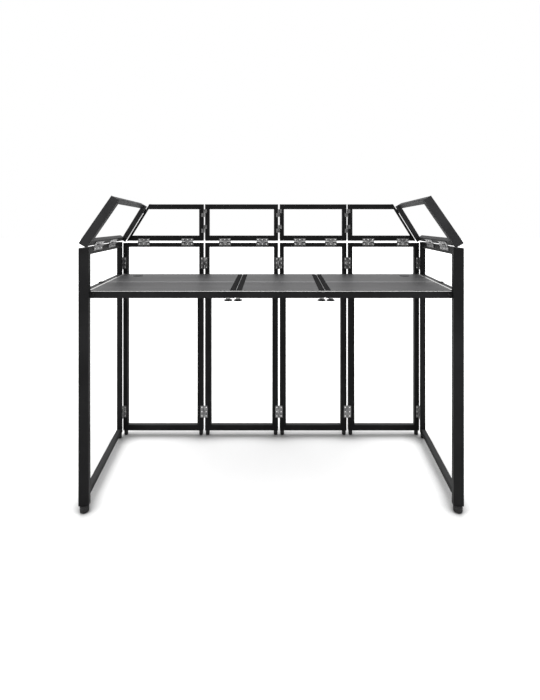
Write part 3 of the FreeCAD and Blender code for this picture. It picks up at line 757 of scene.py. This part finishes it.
# A near-black rubber with almost no sheen for the joints: a dark piece that stands for the shade in them.
joint_rubber = moulded("joint_rubber", (0.006, 0.006, 0.0063), 0.8, 600, 0.05)
bar_width = 0.019
rubber_rise = 0.0018
seal_rise = 0.0012
seal_depth = 0.006
bead_share = 0.14
sections = [section_corners("table_frame_%d" % k) for k in (1, 2, 3)]
top = sections[0][1]
joint_shade_strips = []
seals = []
beads = []
for (left, _), (right, _) in zip(sections, sections[1:]):
    joint_shade_strips.append(bar_on(left[2], left[1], bar_width, top, top + rubber_rise))
    joint_shade_strips.append(bar_on(right[0], right[3], bar_width, top, top + rubber_rise))
    slit = (right[0] - left[1]).length
    seals.append(bar_on(left[1], left[2], slit, top - seal_depth, top + seal_rise))
    inset = (right[0] - left[1]) * (0.5 - bead_share / 2)
    ends = (left[1] + inset, left[2] + inset)
    beads.append(bar_on(*ends, slit * bead_share, top + seal_rise, top + rubber_rise))
table_piece("table_joint_strips", joint_shade_strips + seals, joint_rubber)

trim_width = 0.009
trim_rise = 0.0015
trim_inset = 0.002
(near_left, _, _, far_left), top = section_corners("table_boards_1")
edge_trims = [bar_on(near_left, far_left, trim_width, top, top + trim_rise)]
(_, near_right, far_right, _), top = section_corners("table_boards_3")
edge_trims.append(bar_on(far_right, near_right, trim_width, top, top + trim_rise))
rail_boxes = [reach_of(piece) for piece in solid_pieces("table_front_rail")]
low, high = max(rail_boxes, key=lambda box: box[1].x)
ends = [Vector((x, low.y + trim_inset + trim_width, 0)) for x in (low.x + trim_inset, high.x - trim_inset)]
edge_trims.append(bar_on(*ends, trim_width, high.z, high.z + trim_rise / 2))
table_piece("table_edge_trims", edge_trims, bright_screw)

strip_rise = 0.0004
strip_end_gap = 0.001
for piece in solid_pieces("table_strips"):
    low, high = reach_of(piece)
    middle = (low.y + high.y) / 2 + trim_width / 2
    ends = [Vector((x, middle, high.z)) for x in (low.x + strip_end_gap, high.x - strip_end_gap)]
    beads.append(bar_on(*ends, trim_width, high.z, high.z + strip_rise))
table_piece("table_strip_beads", beads, satin)


# Clamp knobs: four moulded star knobs under the front rail, each with a steel bolt. The bolts pass
# through zinc plated tabs, welded behind the rail, and hold the table sections to it.
tabs = []
for piece in solid_pieces("table_front_rail"):
    low, high = reach_of(piece)
    if max(high - low) < bent_plate_limit:
        tabs.append(as_drawn(piece))
        softened(tabs[-1], plate_crease)
table_piece("clamp_tabs", tabs, zinc)
knob_rings = [(0, 0, 2.2), (5.5, 0, 2.1), (7.0, 0, 1.6), (13, 1.4, 1.6), (15.8, 1.8, 2.2), (16.5, 2, 3.2)]
knob_rings += [(16.5, 2, 6), (15.6, 1.7, 7), (10, 0.6, 7.8), (5, 0, 8.2), (4.6, 0, 9.9), (3, 0, 10)]
knob_rings += [(3, 0, 29.5), (2.4, 0, 30), (0, 0, 30)]
knob_steps = 84
knob_lobes = 7
for node in ("clamp_knob_1", "clamp_knob_2", "clamp_knob_3", "clamp_knob_4"):
    low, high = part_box(node)
    rings = [tuple(value / 1000 for value in ring) for ring in knob_rings]
    knob = lathed(rings, knob_steps, middle_at(low, high, low.z), knob_lobes)
    settle(piece_from(node + "_star", [knob], plastic), node)


# Rail bolts: black oxide button-head bolts with a six-sided socket, one at each end of the front rail.
# They go through the front wall of the tube.
def black_oxide():
    """Black oxide steel: a dark metal, browner and duller in patches."""
    black_tone = (0.018, 0.018, 0.019, 1)
    brown_tone = (0.032, 0.030, 0.029, 1)
    oxide = Finish("black_oxide", Metallic=1.0)
    where = oxide.place()
    patches = oxide.cloud(where, 160, 4)
    shade = oxide.blend(oxide.ramp(patches, 0.35, 0.7), black_tone, brown_tone)
    oxide.wear(Base_Color=shade, Roughness=0.30 + 0.2 * patches)
    oxide.relief(patches, 0.00006)
    return oxide.material


bolt_rings = [(0.003, -0.012), (0.003, -0.0042), (0.0055, -0.004), (0.0055, -0.0032), (0.0050, -0.0015)]
bolt_rings += [(0.0041, -0.0005), (0.0030, -0.0001)]
socket_radius = 0.0023
socket_depth = 0.0022
turns = [k * math.pi / 3 for k in range(6)]
socket = [(socket_radius * math.cos(turn), socket_radius * math.sin(turn)) for turn in turns]
bolt_head = driven_head("bolt_head", bolt_rings, socket, socket_depth)
fit_heads("table_rail_bolt_heads", "table_rail_bolts", bolt_head, black_oxide())


# Studio: a plain white floor with painted shadow close to what stands on it, broad soft light and the
# camera.
# The camera looks level from the player's side, with the picture shifted down to the floor.
floor_mesh = bpy.data.meshes.new("floor")
floor_half = 30.0
floor_corners = [(-floor_half, -floor_half, 0), (floor_half, -floor_half, 0)]
floor_corners += [(floor_half, floor_half, 0), (-floor_half, floor_half, 0)]
floor_mesh.from_pydata(floor_corners, [], [(0, 1, 2, 3)])
floor = bpy.data.objects.new("floor", floor_mesh)
bpy.context.scene.collection.objects.link(floor)
floor_finish = Finish("floor_white", Specular_IOR_Level=0.1)
floor_wash = floor_finish.cloud(floor_finish.place(), 0.8)
painted_shadow_reach = 0.10
painted_shadow_tone = (0.40, 0.40, 0.40, 1)
open_tone = (0.95, 0.95, 0.95, 1)
# Painted contact shadow: the floor's colour darkens where something stands close over it.
painted_contact_shadow = floor_finish.node("AmbientOcclusion", {"samples": 16}, {"Distance": painted_shadow_reach}, "AO")
floor_tone = floor_finish.blend(floor_finish.ramp(painted_contact_shadow, 0.5, 1.0), painted_shadow_tone, open_tone)
floor_finish.wear(Base_Color=floor_tone, Roughness=0.85 + 0.1 * floor_wash)
floor_mesh.materials.append(floor_finish.material)

# The light falls off from overhead and the far side towards the player's side.
studio = Finish("studio", bpy.data.worlds, "Background")
direction = studio.node("TexCoord", {}, {}, "Generated")
along, up = (studio.node("SeparateXYZ", {}, {"Vector": direction}, axis) for axis in "YZ")
far_wall = studio.ramp(along, 0.0, 0.9) * studio.ramp(up, -0.02, 0.12)
glow = 0.14 + 0.55 * far_wall + 2.6 * studio.ramp(up, 0.25, 0.95)
seen = studio.node("LightPath", {}, {}, "Is Camera Ray")
studio.wear(Strength=seen + (1 - seen) * glow, Color=(1, 1, 1, 1))
bpy.context.scene.world = studio.material
bpy.context.scene.view_settings.view_transform = "Standard"

focal_pixels = 448.286
picture_height = 700
camera_back = 1.98507
camera_height = 1.0756
camera_data = bpy.data.cameras.new("camera")
camera_data.lens = focal_pixels * camera_data.sensor_width / picture_height
camera_data.shift_x = -0.00166
camera_data.shift_y = -0.1796
camera = bpy.data.objects.new("camera", camera_data)
camera.location = (0, -camera_back, camera_height)
camera.rotation_euler = (math.pi / 2, 0, 0)
bpy.context.scene.collection.objects.link(camera)
bpy.context.scene.camera = camera
